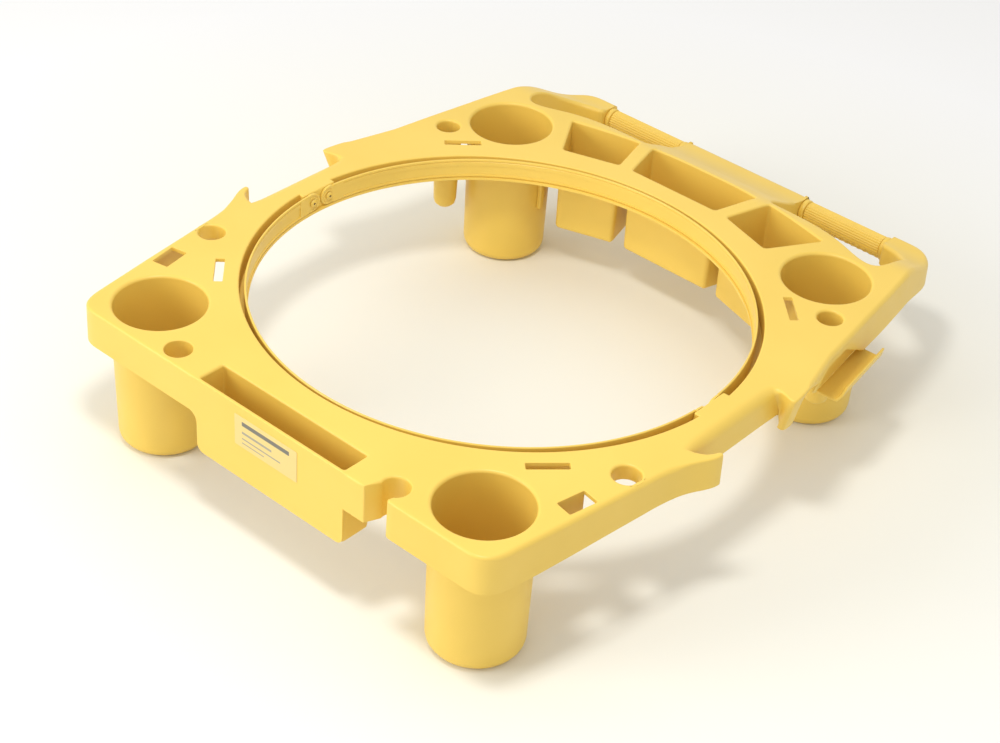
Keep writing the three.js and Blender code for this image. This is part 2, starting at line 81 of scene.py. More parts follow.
# ---------- sizes of the moulding's features ----------
WALL = 3.0
CUP_TOP, CUP_BOTTOM, CUP_EASE = 50.0, 47.5, 9.0     # a cup's inside radii, and its floor fillet
CUP_MID_Z = 92.0
SOCKET_R, TUBE_R, SLEEVE_DEPTH = 15.0, 14.0, 18.0
CUP_SIDES, SMALL_SIDES = 96, 40     # points round a cup, and round a tube or socket
OPENING_A, OPENING_B = 289.0, 275.5     # half axes of the round opening
LIP_A, LIP_B, LIP_TOP_Z = 278.0, 267.5, 146.7     # the lip at the opening's foot
TAB_X, TAB_HALF = 281.0, 25.0     # the flat tabs that carry the hinges
RING_A, RING_B, RING_THICK = 278.0, 270.0, 2.5
PIVOT_Y, KNUCKLE_R = 12.5, 11.5
TRAY_HALF, TRAY_FRONT, TRAY_BACK = 102.0, FRONT_Y + 3.5, -309.0
TRAY_SIDE, TRAY_CORNER = TRAY_HALF + WALL, 9.0
STEP_REACH = 12.0     # the skirt's lower edge curves into the tray's side over this distance
KEYHOLE_X, KEYHOLE_Y = -SOCKET_FRONT[0], SOCKET_FRONT[1]
BAR_Y, BAR_Z, BAR_R, BAR_BELOW = 453.0, 123.0, 12.0, 16.5
GRIP_INNER, GRIP_OUTER, COLLAR_WIDE = 90.0, 212.0, 7.0
NOTCH_FRONT_Y, NOTCH_LIFT, NOTCH_FOOT_Z = 335.0, 14.0, 140.0     # the gap in front of a grip
WAIST_X, WAIST_HALF = 316.0, 76.0     # the straight sides between the horns
SIDE_X = 295.0     # points of the outline further out than this belong to its sides
HORN_X, HORN_LEAN, HORN_DROP = 318.0, 11.0, 6.0
HORN_CUT = (79.0, 109.0)     # the right rear horn's lower edge curves up between these places
HORN_CURVE = 2.2
HORN_STATIONS = (80, 84, 88, 93, 98, 104)
SIDE_LIFT = 10.0     # how far the side skirts' lower edge rises towards the waist
BAY_Y, BAY_DEPTH = (150.0, 251.0), 8.0     # the set-back wall behind the hook
LEDGE_Z, LEDGE_BEND = 159.0, 197.0     # the rim's lower edge over that wall slopes from the bend
SHEER = 0.1     # length of outline that an upright step takes up
DROOP_START, DROOP, SKIRT_DROOP = 350.0, 35.0, 16.0
SLOT_LENGTH, SLOT_WIDTH = 44.0, 10.0
SLOT_FRONT, SLOT_FRONT_TURN = (234.3, -196.0), 46.0
SLOT_REAR, SLOT_REAR_TURN = (241.0, 201.0), -45.0
WINDOW, WINDOW_TURN = (289.5, -217.8), -10.5
WINDOW_LENGTH, WINDOW_WIDTH, FLAP_LENGTH = 34.0, 20.0, 36.6

# Rounding of the deck's outer edge from place to place, and of the mouths in the deck.
EDGE_ROUND, FRONT_ROUND, TRAY_ROUND, KEYHOLE_ROUND, MOUTH_ROUND = 5.0, 3.2, 1.6, 2.4, 0.8
WAIST_ROUND, HORN_ROUND, REAR_ROUND, NOTCH_ROUND, NOTCH_END_ROUND = 11.0, 2.0, 6.0, 3.0, 6.5
BAR_ROUND, BAR_END_ROUND = 12.0, 0.01
CUP_RIM, TUBE_RIM, SOCKET_RIM, FRONT_SOCKET_RIM = 3.6, 3.0, 2.6, 1.2
BIN_RIM, SLIT_RIM, OPENING_RIM = 2.6, 0.7, 1.8

# How the meshes are drawn.
ROUND_STEPS = 6     # faces across a rounded edge
HOLD_SHARE = 0.22     # width of the narrow flat beside a rounded edge, as a share of its radius
SPACING = 7.0     # longest side of an outline
SLIVER = 1.0     # square mm; a group of triangles with none larger is no part of the deck
MERGE = 0.02 * MM
SHARP_DEGREES = 38


def half_wave(y):
    """0 on the flat deck, rising smoothly to 1 over the rear bar."""
    t = np.clip((np.asarray(y, float) - DROOP_START) / (BAR_Y - DROOP_START), 0, 1)
    return 0.5 * (1 - np.cos(math.pi * t))


def deck_height(y):
    return DECK_Z - DROOP * half_wave(y)


# ---------- plan curves, as arrays of [x, y] ----------
def bezier(p0, p1, p2, p3, count=10):
    t = np.linspace(0, 1, count + 1)[1:, None]
    p0, p1, p2, p3 = (np.array(p, float) for p in (p0, p1, p2, p3))
    return (1 - t) ** 3 * p0 + 3 * (1 - t) ** 2 * t * p1 + 3 * (1 - t) * t ** 2 * p2 + t ** 3 * p3


def ellipse(a, b, count, x=0.0, y=0.0):
    turn = np.linspace(0, 2 * math.pi, count, endpoint=False)
    return np.stack([x + a * np.cos(turn), y + b * np.sin(turn)], 1)


def rounded(corners, radius, steps=5):
    """A closed outline with each corner eased over about the given radius."""
    corners = np.array(corners, float)
    radii = np.broadcast_to(np.asarray(radius, float), (len(corners),))
    points = []
    for i, corner in enumerate(corners):
        before, after = corners[i - 1], corners[(i + 1) % len(corners)]
        reach_in = min(radii[i], 0.48 * np.linalg.norm(before - corner))
        reach_out = min(radii[i], 0.48 * np.linalg.norm(after - corner))
        start = corner + (before - corner) / np.linalg.norm(before - corner) * reach_in
        end = corner + (after - corner) / np.linalg.norm(after - corner) * reach_out
        for t in np.linspace(0, 1, steps + 1):
            points.append((1 - t) ** 2 * start + 2 * (1 - t) * t * corner + t ** 2 * end)
    return np.array(points)


def refined(loop, step):
    """The same closed outline with extra points, so that no side is longer than the step."""
    points = []
    for i, here in enumerate(loop):
        after = loop[(i + 1) % len(loop)]
        count = max(1, math.ceil(np.linalg.norm(after - here) / step))
        points.extend(here + (after - here) * k / count for k in range(count))
    return np.array(points)


def outward(loop):
    """Outward direction at each point of a counter-clockwise outline, longer at corners."""
    before = loop - np.roll(loop, 1, 0)
    after = np.roll(loop, -1, 0) - loop
    n0 = np.stack([before[:, 1], -before[:, 0]], 1) / np.linalg.norm(before, axis=1)[:, None]
    n1 = np.stack([after[:, 1], -after[:, 0]], 1) / np.linalg.norm(after, axis=1)[:, None]
    bend = np.maximum(0.55, 1 + (n0 * n1).sum(1))
    return (n0 + n1) / bend[:, None]


def grown(loop, distance, aim=None):
    """The outline moved outward, or along the given directions."""
    aim = outward(loop) if aim is None else aim
    return loop + aim * np.broadcast_to(distance, (len(loop),))[:, None]


def mirrored(loop):
    return (loop * (-1, 1))[::-1]


def turned_rectangle(length, width, x, y, degrees, radius):
    angle = math.radians(degrees)
    along = np.array([math.cos(angle), math.sin(angle)])
    across = np.array([-math.sin(angle), math.cos(angle)])
    middle = np.array([x, y])
    signs = [(-1, -1), (1, -1), (1, 1), (-1, 1)]
    corners = [middle + along * i * length / 2 + across * j * width / 2 for i, j in signs]
    return refined(rounded(corners, radius, 4), 6)


def side_run():
    """The right-hand edge, from the front corner past the two horns to the rear corner."""
    runs = [
        [[262, FRONT_Y]],
        bezier((262, FRONT_Y), (280, FRONT_Y), (290, -336), (293.5, -315), 11),
        [[305, -238], [313, -180], [318, -145]],
        bezier((318, -145), (321, -120), (326, -98), (335, -82), 9),
        bezier((335, -82), (340, -73), (HALF_WIDTH, -66), (HALF_WIDTH, -59), 6),
        bezier((HALF_WIDTH, -59), (HALF_WIDTH, -55.5), (337.5, -55.5), (336.5, -59), 5),
        bezier((336.5, -59), (333, -71), (325, -74), (WAIST_X, -73), 7),
        [[WAIST_X, y] for y in (-50, -25, 0, 25, 50)],
        bezier((WAIST_X, 62), (WAIST_X, 70), (322, 70), (330, 67), 6),
        bezier((330, 67), (336, 64.5), (HALF_WIDTH, 62), (HALF_WIDTH, 69), 5),
        bezier((HALF_WIDTH, 69), (342, 92), (330, 130), (322, 165), 10),
        [[315, 217], [307, 270], [301.5, 308]],
        bezier((296, 345), (290, 372), (286, 394), (281, 415), 8),
        bezier((281, 415), (275, 444), (262, REAR_Y), (236, REAR_Y), 10),
    ]
    return np.concatenate([np.array(run, float) for run in runs])


def hand_notch():
    """The right-hand gap in the rear edge that the grip crosses, from outer end to inner."""
    bar_edge = REAR_Y - BAR_ROUND - 4
    runs = [
        [[GRIP_OUTER, REAR_Y], [GRIP_OUTER, bar_edge], [GRIP_OUTER, 440]],
        bezier((GRIP_OUTER, 440), (GRIP_OUTER, 428), (224, 434), (238, 424), 7),
        bezier((238, 424), (256, 411), (264, 388), (264, 366), 9),
        bezier((264, 366), (264, 350), (258, 341), (247, 341), 7),
        bezier((247, 341), (228, 341), (205, 358), (165, 366), 9),
        bezier((165, 366), (140, 370), (118, 371), (100, 371), 5),
        bezier((100, 371), (93, 371), (GRIP_INNER, 374), (GRIP_INNER, 382), 4),
        [[GRIP_INNER, y] for y in (400, 420, 440, bar_edge, REAR_Y)],
    ]
    return np.concatenate([np.array(run, float) for run in runs])


def keyhole_run():
    """The round hole at the front right and its mouth through the front edge, left to right."""
    mouth_left = bezier((131, FRONT_Y), (132.6, FRONT_Y), (133, -345), (133.4, -343), 3)
    start, end = math.radians(196), math.radians(-55)
    turn = np.linspace(start, end, 26)
    hole = np.stack([KEYHOLE_X + SOCKET_R * np.cos(turn), KEYHOLE_Y + SOCKET_R * np.sin(turn)], 1)
    mouth_right = bezier((162, -339.5), (159, -343), (163, FRONT_Y), (170, FRONT_Y), 5)
    return np.concatenate([[[131, FRONT_Y]], mouth_left, hole, mouth_right])


def tray_front_run():
    """Front edge over the tray, with points close together where the lower edge steps down."""
    near = [STEP_REACH, 9, 6.5, 4.5, 3, 1.8, 0.8, 0.05, -0.05, -0.6, -1.8, -3.6, -6, -9]
    left = [[-TRAY_SIDE - d, FRONT_Y] for d in near]
    right = [[TRAY_SIDE + d, FRONT_Y] for d in reversed(near)]
    return np.array([[-200, FRONT_Y], *left, *right], float)


def outer_loop():
    rear_right = np.concatenate([side_run(), hand_notch()])
    loop = np.concatenate([tray_front_run(), keyhole_run(), rear_right, mirrored(rear_right)])
    start, end = BAY_Y
    stations = (start, start - SHEER, LEDGE_BEND, end - SHEER, end, *HORN_STATIONS)
    return with_stations(refined(loop, SPACING), stations)


def with_stations(loop, heights):
    """Adds a point wherever the sides of the outline cross one of the given y values."""
    apart = 0.02
    points = []
    for here, after in zip(loop, np.roll(loop, -1, 0)):
        points.append(here)
        if min(abs(here[0]), abs(after[0])) <= SIDE_X:
            continue
        low, high = sorted((here[1], after[1]))
        crossed = [y for y in heights if low + apart < y < high - apart]
        for y in sorted(crossed, reverse=bool(here[1] > after[1])):
            points.append(here + (after - here) * (y - here[1]) / (after[1] - here[1]))
    return np.array(points)


def opening_loop():
    """The round opening, stepped in at the two hinge tabs."""
    loop = ellipse(OPENING_A, OPENING_B, 240)
    edge = OPENING_A * math.sqrt(1 - (TAB_HALF / OPENING_B) ** 2)
    tab = [[edge, -TAB_HALF], [TAB_X, -TAB_HALF], [TAB_X, TAB_HALF], [edge, TAB_HALF]]
    right = rounded(tab, 2, 3)[3:-3]
    upper = loop[loop[:, 1] > TAB_HALF + 1]
    lower = loop[loop[:, 1] < -TAB_HALF - 1]
    end = np.array([[edge, TAB_HALF]])
    whole = [right, end, upper, end * (-1, 1), mirrored(right), -end, lower, end * (1, -1)]
    return refined(np.concatenate(whole), 8)


# ---------- a skin of loops and flat fills ----------
class Skin:
    """Rows of points and the faces between them, which become one piece."""

    def __init__(self):
        self.points = []
        self.faces = []

    def row(self, loop, z):
        heights = np.broadcast_to(z, (len(loop),))
        start = len(self.points)
        self.points.extend((x, y, h) for (x, y), h in zip(loop, heights))
        return list(range(start, start + len(loop)))

    def bridge(self, a, b, flip=False):
        for i in range(len(a)):
            j = (i + 1) % len(a)
            face = (a[i], b[i], b[j], a[j])
            self.faces.append(face[::-1] if flip else face)

    def cap(self, row):
        """Closes the last row with a fan, facing up."""
        ring = np.array([self.points[i] for i in row])
        centre = len(self.points)
        self.points.append(tuple(ring.mean(0)))
        for i in range(len(row)):
            self.faces.append((row[i], row[(i + 1) % len(row)], centre))

    def down(self, loop, fillet, walls, inward, aim=None):
        """Rounds over from the deck into a wall, then follows (offset, z) steps."""
        side = 1 if inward else -1
        hold = np.asarray(fillet) * HOLD_SHARE
        rows = []
        edge = grown(loop, side * (fillet + hold), aim)
        rows.append(self.row(edge, deck_height(edge[:, 1])))
        for k in range(ROUND_STEPS + 1):
            angle = math.pi / 2 * k / ROUND_STEPS
            curve = grown(loop, side * fillet * (1 - math.sin(angle)), aim)
            rows.append(self.row(curve, deck_height(curve[:, 1]) - fillet * (1 - math.cos(angle))))
        for offset, z in walls:
            curve = grown(loop, side * offset)
            rows.append(self.row(curve, z))
        for a, b in zip(rows, rows[1:]):
            self.bridge(a, b, flip=inward)
        return rows

    def fill(self, outer, holes, extra):
        """Fills the deck between the outer row and the hole rows, through the extra points."""
        loops = [outer, *holes]
        index = [i for loop in loops for i in loop]
        flat = [Vector(self.points[i][:2]) for i in index]
        edges = []
        for loop in loops:
            base = len(edges)
            edges.extend((base + k, base + (k + 1) % len(loop)) for k in range(len(loop)))
        start = len(self.points)
        self.points.extend((x, y, float(deck_height(y))) for x, y in extra)
        index.extend(range(start, start + len(extra)))
        flat.extend(Vector(p) for p in extra)
        verts, out_edges, faces, origin, origin_edges, _ = delaunay_2d_cdt(flat, edges, [], 0, 1e-4)
        names = []
        for vert, source in zip(verts, origin):
            if source:
                names.append(index[source[0]])
            else:
                self.points.append((vert.x, vert.y, float(deck_height(vert.y))))
                names.append(len(self.points) - 1)
        polygons = [np.array([self.points[i][:2] for i in loop]) for loop in loops]
        corners = np.array([[verts[k] for k in face] for face in faces])
        sides = np.diff(corners, axis=1)
        areas = np.abs(sides[:, 0, 0] * sides[:, 1, 1] - sides[:, 0, 1] * sides[:, 1, 0])
        for region in regions(faces, out_edges, origin_edges):
            widest = max(region, key=lambda k: areas[k])
            middle = corners[widest].mean(0)[None]
            pierced = any(inside(middle, hole)[0] for hole in polygons[1:])
            if inside(middle, polygons[0])[0] and not pierced and areas[widest] > SLIVER:
                self.faces.extend(tuple(names[k] for k in faces[number]) for number in region)

    def to_object(self, name, thickness):
        mesh = bpy.data.meshes.new(name)
        points = [(x * MM, (y + CENTRE_Y) * MM, z * MM) for x, y, z in self.points]
        mesh.from_pydata(points, [], self.faces)
        mesh.validate()
        made = link(name, mesh)
        thicken(made, thickness * MM)
        smooth_by_angle(made, SHARP_DEGREES)
        shading = made.modifiers.new("shading", "WEIGHTED_NORMAL")
        shading.keep_sharp = True
        bake_modifiers(made)
        return made


def thicken(piece, thickness):
    """Gives a skin a second side, the thickness below it, and closes its free edges."""
    least_slant = 0.7     # keeps the second side from reaching too far at sharp corners
    work = bmesh.new()
    work.from_mesh(piece.data)
    bmesh.ops.remove_doubles(work, verts=work.verts, dist=MERGE)
    bmesh.ops.dissolve_degenerate(work, edges=work.edges, dist=MERGE)
    work.normal_update()
    inner = {}
    for vert in list(work.verts):
        pulls = (face.normal * face.calc_area() for face in vert.link_faces)
        facing = sum(pulls, Vector()).normalized()
        slants = (max(least_slant, facing.dot(face.normal)) for face in vert.link_faces)
        inner[vert] = work.verts.new(vert.co - facing * thickness / min(slants, default=1))
    for face in list(work.faces):
        work.faces.new([inner[vert] for vert in reversed(face.verts)])
        for loop in face.loops:
            if loop.edge.is_boundary:
                a, b = loop.vert, loop.link_loop_next.vert
                work.faces.new((b, a, inner[a], inner[b]))
    work.to_mesh(piece.data)
    work.free()


def regions(faces, edges, sources):
    """Groups of touching triangles, cut apart wherever an edge of the outline runs between them."""
    outline = {frozenset(edge) for edge, source in zip(edges, sources) if source}
    owners = {}
    for number, face in enumerate(faces):
        for i in range(3):
            owners.setdefault(frozenset((face[i], face[i - 1])), []).append(number)
    waiting = set(range(len(faces)))
    while waiting:
        group = [waiting.pop()]
        for number in group:
            face = faces[number]
            for i in range(3):
                edge = frozenset((face[i], face[i - 1]))
                if edge in outline:
                    continue
                for other in owners[edge]:
                    if other in waiting:
                        waiting.remove(other)
                        group.append(other)
        yield group


def inside(points, polygon):
    """Which points lie inside a closed outline, by counting crossings."""
    x, y = points[:, 0][:, None], points[:, 1][:, None]
    x0, y0 = polygon[:, 0][None], polygon[:, 1][None]
    x1, y1 = np.roll(polygon, -1, 0).T[:, None]
    crosses = (y0 > y) != (y1 > y)
    with np.errstate(divide="ignore", invalid="ignore"):
        at = (x1 - x0) * (y - y0) / (y1 - y0) + x0
    return (np.sum(crosses & (x < at), 1) % 2) == 1


def link(name, data):
    made = bpy.data.objects.new(name, data)
    bpy.context.scene.collection.objects.link(made)
    return made


def bake_modifiers(piece):
    graph = bpy.context.evaluated_depsgraph_get()
    finished = bpy.data.meshes.new_from_object(piece.evaluated_get(graph))
    piece.modifiers.clear()
    piece.data = finished


def smooth_by_angle(piece, degrees):
    """Smooth shading, with a crisp edge wherever two faces meet at more than the angle."""
    work = bmesh.new()
    work.from_mesh(piece.data)
    limit = math.radians(degrees)
    for face in work.faces:
        face.smooth = True
    for edge in work.edges:
        edge.smooth = len(edge.link_faces) == 2 and edge.calc_face_angle(0) < limit
    work.to_mesh(piece.data)
    work.free()


# ---------- the moulding ----------
def eased(values, times=4):
    """Evens out a value round a closed loop, so that fillets grow and shrink gently."""
    for _ in range(times):
        values = (np.roll(values, 1) + 2 * values + np.roll(values, -1)) / 4
    return values


def outer_fillet(loop):
    """Rounding of the deck's outer edge at each point."""
    x, y = np.abs(loop[:, 0]), loop[:, 1]
    front = y < FRONT_Y + 1
    fillet = np.full(len(loop), EDGE_ROUND)
    fillet[y < FRONT_Y + 12] = FRONT_ROUND
    fillet[front & (x < TRAY_SIDE + 2)] = TRAY_ROUND
    from_keyhole = np.hypot(loop[:, 0] - KEYHOLE_X, y - KEYHOLE_Y)
    fillet[(from_keyhole < SOCKET_R + 11) & (y > FRONT_Y + 1)] = KEYHOLE_ROUND
    fillet[(x < WAIST_X + 1) & (x > 300) & (np.abs(y) < WAIST_HALF)] = WAIST_ROUND
    fillet[(x > HORN_X) & (np.abs(y) < 100)] = HORN_ROUND
    fillet[y > DROOP_START] = REAR_ROUND
    notch = (x > GRIP_INNER - 1) & (x < 265) & (y < 440) & (y > NOTCH_FRONT_Y)
    fillet[notch] = NOTCH_ROUND
    fillet[notch & (x > 216) & (y > 396)] = NOTCH_END_ROUND
    fillet = eased(fillet)
    fillet[(y > REAR_Y - 1) & (x < GRIP_INNER + 1)] = BAR_ROUND
    fillet[bar_ends(loop) & (y < REAR_Y - 1)] = BAR_END_ROUND
    fillet[(np.abs(loop[:, 0] - 132) < 7) & (y < -335)] = MOUTH_ROUND
    return np.where((x < TRAY_SIDE) & front, np.minimum(fillet, TRAY_ROUND), fillet)


def bar_ends(loop):
    """Which points lie on the flat faces where the grips start and end."""
    x, near = np.abs(loop[:, 0]), 0.01
    at_end = (np.abs(x - GRIP_INNER) < near) | (np.abs(x - GRIP_OUTER) < near)
    return at_end & (loop[:, 1] > 425)


def outer_aim(loop):
    """Outward directions of the outer edge, kept flat where the grips start and end."""
    aim = outward(loop)
    aim[bar_ends(loop)] = (0, 1)
    return aim


def outer_foot(loop):
    """Lower edge of the skirt all round, which steps down to the foot of the tray."""
    x, y = np.abs(loop[:, 0]), loop[:, 1]
    foot = SKIRT_Z - SKIRT_DROOP * half_wave(y)
    notch = (x > GRIP_INNER - 1) & (x < 266) & (y > NOTCH_FRONT_Y) & (y < 400)
    foot = np.where(notch, np.minimum(foot + NOTCH_LIFT, NOTCH_FOOT_Z), foot)
    lift = SIDE_LIFT * np.clip((y + 280) / 225, 0, 0.8)
    foot = np.where((y > -280) & (y < WAIST_HALF), SKIRT_Z + lift, foot)
    foot = np.where((x > HORN_X) & (y > 60) & (y < 125), SKIRT_Z - HORN_DROP, foot)
    start, end = HORN_CUT
    horn = (loop[:, 0] > HORN_X - 1) & (y > start) & (y < BAY_Y[0] - SHEER / 2)
    curve = 1 - (1 - np.clip((y - start) / (end - start), 0, 1)) ** HORN_CURVE
    tall = LEDGE_Z + HORN_DROP - SKIRT_Z
    foot = np.where(horn, SKIRT_Z - HORN_DROP + tall * curve, foot)
    front = y < FRONT_Y + 1
    beside_tray = front & (loop[:, 0] <= -TRAY_SIDE) & (x < TRAY_SIDE + STEP_REACH)
    into = np.clip(TRAY_SIDE + STEP_REACH - x, 0, STEP_REACH)
    step = SKIRT_Z - STEP_REACH + np.sqrt(STEP_REACH ** 2 - into ** 2)
    foot = np.where(beside_tray, step, foot)
    lift = np.clip(x - (TRAY_SIDE - TRAY_CORNER), 0, TRAY_CORNER)
    tray_foot = TRAY_FOOT_Z + TRAY_CORNER - np.sqrt(TRAY_CORNER ** 2 - lift ** 2)
    return np.where(front & (x < TRAY_SIDE), tray_foot, foot)


def leaned(row_points, depth_share):
    """The rear horns lean in and back towards their feet."""
    x, y = np.abs(row_points[:, 0]), row_points[:, 1]
    moved = row_points.copy()
    near = np.clip((125 - y) / 50, 0, 1) * (y > 50) * (x > HORN_X - 1)
    moved[:, 0] -= np.sign(row_points[:, 0]) * near * np.clip(x - 320, 0, 15) * depth_share
    back = np.clip((y - 50) / 12, 0, 1) * np.clip((112 - y) / 30, 0, 1) * (x > 313)
    moved[:, 1] += HORN_LEAN * back * depth_share
    return moved


def add_outer_wall(skin):
    """The rounded outer edge and the skirt below it, set back under a ledge behind the hook."""
    loop = outer_loop()
    y, outer = loop[:, 1], loop[:, 0] > SIDE_X
    fillet, aim, foot = outer_fillet(loop), outer_aim(loop), outer_foot(loop)
    rows = skin.down(loop, fillet, [], inward=False, aim=aim)
    start, end = BAY_Y
    by_bay = outer & (y > start - 10) & (y < end + 25)
    draft = eased(np.where((y < FRONT_Y + 1) | by_bay, 0.0, 0.6))
    bay = outer & (y > start - SHEER / 2) & (y < end - SHEER / 2)
    slope = np.clip((y - LEDGE_BEND) / (end - LEDGE_BEND), 0, 1)
    rim = deck_height(y) - fillet
    top = np.where(bay, LEDGE_Z + (SKIRT_Z + 1 - LEDGE_Z) * slope, rim)
    ledge = skin.row(loop, top)
    skin.bridge(rows[-1], ledge)
    last = skin.row(grown(loop, np.where(bay, -BAY_DEPTH, 0), aim), top)
    skin.bridge(ledge, last)
    for share in (0.15, 0.5, 0.88, 1.0):
        offset = np.where(bay, -BAY_DEPTH, draft * share)
        row = skin.row(leaned(grown(loop, offset, aim), share), top + (foot - top) * share)
        skin.bridge(last, row)
        last = row
    return rows[0]


def floor_curve(inset, floor, radius, turns):
    """(offset, z) steps round the fillet between a wall and a floor."""
    steps = []
    for angle in np.radians(turns):
        offset = -(inset + radius * (1 - math.cos(angle)))
        steps.append((offset, floor + radius * (1 - math.sin(angle))))
    return steps


def add_pocket(skin, loop, fillet, foot, draft=1.5, floor_fillet=2.4):
    """A blind pocket: rounded rim, drafted wall, rounded floor."""
    walls = [(-draft * 0.5, foot + (DECK_Z - foot) * 0.5), (-draft, foot + floor_fillet)]
    walls += floor_curve(draft, foot, floor_fillet, (30, 60, 90))
    rows = skin.down(loop, fillet, walls, inward=True)
    skin.cap(rows[-1])
    return rows[0]


def add_round(skin, centre, radius, fillet, walls, count, closed):
    rows = skin.down(ellipse(radius, radius, count, *centre), fillet, walls, inward=True)
    if closed:
        skin.cap(rows[-1])
    return rows[0]


def cup_walls():
    draft = CUP_TOP - CUP_BOTTOM
    walls = [(-draft * 0.5, CUP_MID_Z), (-draft, WALL + CUP_EASE)]
    walls += floor_curve(draft, WALL, CUP_EASE, (22, 45, 68, 90))
    return walls + [(-CUP_TOP * 0.55, WALL)]


def tube_walls():
    foot = node_low("tool_tube_right")[2] + WALL
    return [(-1.5, 115), (-3.0, foot + 8), (-4.2, foot + 3.4), (-7.0, foot + 0.8), (-10.0, foot)]


def add_opening(skin):
    """The round opening's wall, and the lip at its foot."""
    loop = opening_loop()
    x, y = np.abs(loop[:, 0]), loop[:, 1]
    wall = [(0, LIP_TOP_Z + 6), (0, LIP_TOP_Z + 0.6)]
    rows = skin.down(loop, OPENING_RIM, wall, inward=True)
    along = np.where(np.abs(y) < TAB_HALF + 0.5, np.minimum(x, TAB_X), x)
    turn = np.arctan2(y / OPENING_B, np.sign(loop[:, 0]) * along / OPENING_A)
    last = rows[-1]
    for share in (0.12, 0.8, 1.0):
        a = OPENING_A + (LIP_A - OPENING_A) * share
        b = OPENING_B + (LIP_B - OPENING_B) * share
        edge = np.stack([a * np.cos(turn), b * np.sin(turn)], 1)
        limit = np.minimum(np.abs(edge[:, 0]), x - 0.3 * share)
        edge[:, 0] = np.sign(edge[:, 0]) * limit
        row = skin.row(edge, LIP_TOP_Z)
        skin.bridge(last, row, flip=True)
        last = row
    return rows[0]


def side_bin():
    return refined(rounded([[80, 301], [149, 279], [186, 341], [97, 363]], 4, 4), SPACING)


def rear_bin():
    corners = [[-61, 303], [61, 303], [77, 364], [40, 369.5], [-40, 369.5], [-77, 364]]
    return refined(rounded(corners, [4, 4, 5, 16, 16, 5], 4), SPACING)


def tray_mouth():
    signs = ((-1, TRAY_FRONT), (1, TRAY_FRONT), (1, TRAY_BACK), (-1, TRAY_BACK))
    return refined(rounded([[sign * TRAY_HALF, y] for sign, y in signs], 3, 4), SPACING)


def on_both_sides(loop):
    return [loop, mirrored(loop)]


def add_tray(skin):
    mouth = tray_mouth()
    fillet = np.where(mouth[:, 1] < TRAY_FRONT + 1, 1.2, 3.0)
    return add_pocket(skin, mouth, eased(fillet, 2), TRAY_FOOT_Z + WALL, draft=0.4)


def free_points(outer, holes):
    """Points on the open deck: close together where it curves down, wide apart where flat."""
    row_gap, close, wide = 4.0, 6.0, 32.0
    points = []
    for y in np.arange(FRONT_Y, REAR_Y, row_gap):
        curved = y > DROOP_START - 14
        if not curved and round((y - FRONT_Y) / row_gap) % round(wide / row_gap):
            continue
        points.extend((x, y) for x in np.arange(-HALF_WIDTH, HALF_WIDTH, close if curved else wide))
    points = np.array(points)
    keep = inside(points, outer)
    for hole in holes:
        keep &= ~inside(points, hole)
    edge = np.concatenate([outer, *holes])
    near = np.array([np.min(np.hypot(*(edge - p).T)) for p in points])
    return points[keep & (near > 3.2)]


def make_moulding():
    """The whole moulding but for its grips, collars, hook, ribs and window walls."""
    skin = Skin()
    outer = add_outer_wall(skin)
    holes = [add_opening(skin), add_tray(skin)]
    sleeve = [(0, DECK_Z - SLEEVE_DEPTH)]
    for side in ((-1, 1), (1, 1)):
        rounds = [
            (CUP_FRONT, CUP_TOP, CUP_RIM, cup_walls(), CUP_SIDES, True),
            (CUP_REAR, CUP_TOP, CUP_RIM, cup_walls(), CUP_SIDES, True),
            (TUBE, TUBE_R, TUBE_RIM, tube_walls(), SMALL_SIDES, True),
            (SOCKET_SIDE, SOCKET_R, SOCKET_RIM, sleeve, SMALL_SIDES, False),
        ]
        for centre, *rest in rounds:
            holes.append(add_round(skin, centre * side, *rest))
    through = [(0, 150), (0, SKIRT_Z)]
    front_socket = (SOCKET_FRONT, SOCKET_R, FRONT_SOCKET_RIM, through, SMALL_SIDES, False)
    holes.append(add_round(skin, *front_socket))
    for loop in (*on_both_sides(side_bin()), rear_bin()):
        holes.append(add_pocket(skin, loop, BIN_RIM, BIN_FOOT_Z + WALL))
    for slit in (
        (SLOT_LENGTH, SLOT_WIDTH, *SLOT_FRONT, SLOT_FRONT_TURN),
        (SLOT_LENGTH, SLOT_WIDTH, *SLOT_REAR, SLOT_REAR_TURN),
        (WINDOW_WIDTH, WINDOW_LENGTH, *WINDOW, WINDOW_TURN),
    ):
        for loop in on_both_sides(turned_rectangle(*slit, 1.5)):
            rows = skin.down(loop, SLIT_RIM, [(0, DECK_Z - WALL - 1.5)], inward=True)
            holes.append(rows[0])
    flat = [np.array([skin.points[i][:2] for i in row]) for row in (outer, *holes)]
    skin.fill(outer, holes, free_points(flat[0], flat[1:]))
    return skin.to_object("caddy_moulding", WALL)


# ---------- the rear grips and their collars ----------
def bar_section(turn, extra):
    """Points [y, z] round the rear bar, which is deeper below its axis than above."""
    rise = np.sin(turn)
    depth = np.where(rise > 0, BAR_R, BAR_BELOW) + extra
    return np.stack([BAR_Y + (BAR_R + extra) * np.cos(turn), BAR_Z + depth * rise], 1)


def tube_faces(rows, count, base=0, closed=False):
    """Faces between neighbouring rows of points, where each row goes round a section."""
    faces = []
    for k in range(rows if closed else rows - 1):
        here, above = base + k * count, base + (k + 1) % rows * count
        for i in range(count):
            j = (i + 1) % count
            faces.append((here + i, here + j, above + j, above + i))
    return faces


def end_faces(rows, count):
    return [tuple(range(count)), tuple(range((rows - 1) * count, rows * count))]


